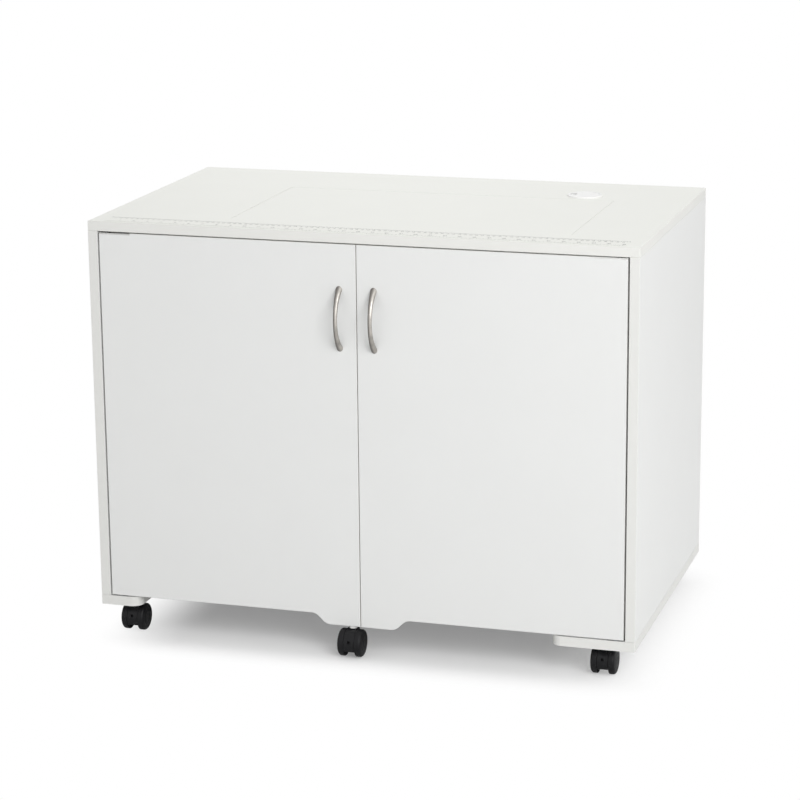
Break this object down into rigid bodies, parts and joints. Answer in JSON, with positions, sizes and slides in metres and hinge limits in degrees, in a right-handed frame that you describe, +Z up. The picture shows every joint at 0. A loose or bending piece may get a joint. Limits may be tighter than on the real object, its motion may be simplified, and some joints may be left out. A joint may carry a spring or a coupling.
{
  "type": "sewing cabinet",
  "caption": "White sewing cabinet on swivelling casters with two full-height doors, bow handles and a lift-out lid over a machine lift.",
  "frame": {"origin": "on the floor, at the middle of the whole outline", "axes": "+X to the right seen from the front, +Y to the back, +Z up"},
  "size_m": [0.9736, 0.6089, 0.7537],
  "materials": {
    "white_laminate": "white melamine on particle board, satin",
    "top_laminate": "warm white melamine on particle board, satin",
    "strip_film": "printed film",
    "white_plastic": "moulded, semi-gloss",
    "satin_nickel": "satin nickel plate",
    "zinc_steel": "zinc plated",
    "grey_steel": "powder coat",
    "black_steel": "satin black lacquer",
    "rod_chrome": "hard chrome",
    "grey_nylon": "moulded nylon",
    "black_nylon": "moulded nylon",
    "black_wheel": "moulded nylon with a soft tread"
  },
  "bodies": {
    "carcass": {"top_panel": "top_laminate", "left_side_panel": "white_laminate", "right_side_panel": "white_laminate", "base_panel": "white_laminate", "back_panel": "white_laminate", "partition_panel": "white_laminate", "front_rail": "white_laminate", "compartment_shelves": "white_laminate", "shelf_cleats": "white_laminate", "lid_cleats": "white_laminate", "measuring_strip": "strip_film", "grommet_ring": "white_plastic", "base_pivots": "zinc_steel", "door_catches": "white_plastic", "guide_posts": "zinc_steel", "post_flanges": "zinc_steel", "stop_collars": "zinc_steel", "gas_spring_cylinder": "black_steel", "gas_spring_foot": "grey_steel", "caster_plates": "zinc_steel", "caster_screws": "zinc_steel"},
    "lid": {"lid_panel": "top_laminate"},
    "cable_cap": {"grommet_cap": "white_plastic"},
    "lift": {"lift_platform": "white_laminate", "carriage_plate": "grey_steel", "carriage_bearings": "grey_nylon", "platform_brackets": "grey_steel", "gas_spring_rod": "rod_chrome", "rod_end_block": "grey_steel"},
    "left_leaf": {"left_door": "white_laminate", "left_door_pivot": "zinc_steel", "left_handle": "satin_nickel", "left_handle_screws": "zinc_steel", "left_strike_plate": "zinc_steel", "rack_sides": "white_laminate", "rack_shelves": "white_laminate", "rack_lips": "white_laminate", "door_caster_socket": "white_plastic", "door_caster_stem": "zinc_steel"},
    "right_leaf": {"right_door": "white_laminate", "right_door_pivot": "zinc_steel", "right_handle": "satin_nickel", "right_handle_screws": "zinc_steel", "right_strike_plate": "zinc_steel"},
    "front_left_swivel": {"front_left_caster_hood": "black_nylon"},
    "front_left_wheelset": {"front_left_caster_axle": "zinc_steel", "front_left_caster_wheels": "black_wheel"},
    "front_right_swivel": {"front_right_caster_hood": "black_nylon"},
    "front_right_wheelset": {"front_right_caster_axle": "zinc_steel", "front_right_caster_wheels": "black_wheel"},
    "rear_left_swivel": {"rear_left_caster_hood": "black_nylon"},
    "rear_left_wheelset": {"rear_left_caster_axle": "zinc_steel", "rear_left_caster_wheels": "black_wheel"},
    "rear_right_swivel": {"rear_right_caster_hood": "black_nylon"},
    "rear_right_wheelset": {"rear_right_caster_axle": "zinc_steel", "rear_right_caster_wheels": "black_wheel"},
    "door_swivel": {"door_caster_hood": "black_nylon"},
    "door_wheelset": {"door_caster_axle": "zinc_steel", "door_caster_wheels": "black_wheel"}
  },
  "joints": [
    {"name": "left_door_hinge", "type": "hinge", "parent": "carcass", "child": "left_leaf", "pos_m": [-0.45135, -0.26915, 0.4021], "axis": [0, 0, -1], "range_deg": [0, 110]},
    {"name": "right_door_hinge", "type": "hinge", "parent": "carcass", "child": "right_leaf", "pos_m": [0.45135, -0.26915, 0.4021], "axis": [0, 0, 1], "range_deg": [0, 110]},
    {"name": "lid_lift_off", "type": "slide", "parent": "carcass", "child": "lid", "axis": [0, 0, 1], "range_m": [0, 0.12]},
    {"name": "cable_cap_turn", "type": "hinge", "parent": "carcass", "child": "cable_cap", "pos_m": [0.29135, 0.16885, 0.751], "axis": [0, 0, 1], "continuous": true},
    {"name": "machine_lift", "type": "slide", "parent": "carcass", "child": "lift", "axis": [0, 0, 1], "range_m": [0, 0.3015]},
    {"name": "front_left_caster_swivel", "type": "hinge", "parent": "carcass", "child": "front_left_swivel", "pos_m": [-0.43495, -0.23625, 0.0276], "axis": [0, 0, 1], "continuous": true},
    {"name": "front_left_caster_roll", "type": "hinge", "parent": "front_left_swivel", "child": "front_left_wheelset", "pos_m": [-0.43495, -0.24425, 0.0243], "axis": [1, 0, 0], "continuous": true},
    {"name": "front_right_caster_swivel", "type": "hinge", "parent": "carcass", "child": "front_right_swivel", "pos_m": [0.42795, -0.23625, 0.0276], "axis": [0, 0, 1], "continuous": true},
    {"name": "front_right_caster_roll", "type": "hinge", "parent": "front_right_swivel", "child": "front_right_wheelset", "pos_m": [0.42795, -0.24425, 0.0243], "axis": [1, 0, 0], "continuous": true},
    {"name": "rear_left_caster_swivel", "type": "hinge", "parent": "carcass", "child": "rear_left_swivel", "pos_m": [-0.43495, 0.25765, 0.0276], "axis": [0, 0, 1], "continuous": true},
    {"name": "rear_left_caster_roll", "type": "hinge", "parent": "rear_left_swivel", "child": "rear_left_wheelset", "pos_m": [-0.43495, 0.24965, 0.0243], "axis": [1, 0, 0], "continuous": true},
    {"name": "rear_right_caster_swivel", "type": "hinge", "parent": "carcass", "child": "rear_right_swivel", "pos_m": [0.42795, 0.25765, 0.0276], "axis": [0, 0, 1], "continuous": true},
    {"name": "rear_right_caster_roll", "type": "hinge", "parent": "rear_right_swivel", "child": "rear_right_wheelset", "pos_m": [0.42795, 0.24965, 0.0243], "axis": [1, 0, 0], "continuous": true},
    {"name": "door_caster_swivel", "type": "hinge", "parent": "left_leaf", "child": "door_swivel", "pos_m": [-0.0159, -0.26915, 0.0276], "axis": [0, 0, 1], "continuous": true},
    {"name": "door_caster_roll", "type": "hinge", "parent": "door_swivel", "child": "door_wheelset", "pos_m": [-0.0159, -0.27715, 0.0243], "axis": [1, 0, 0], "continuous": true}
  ]
}
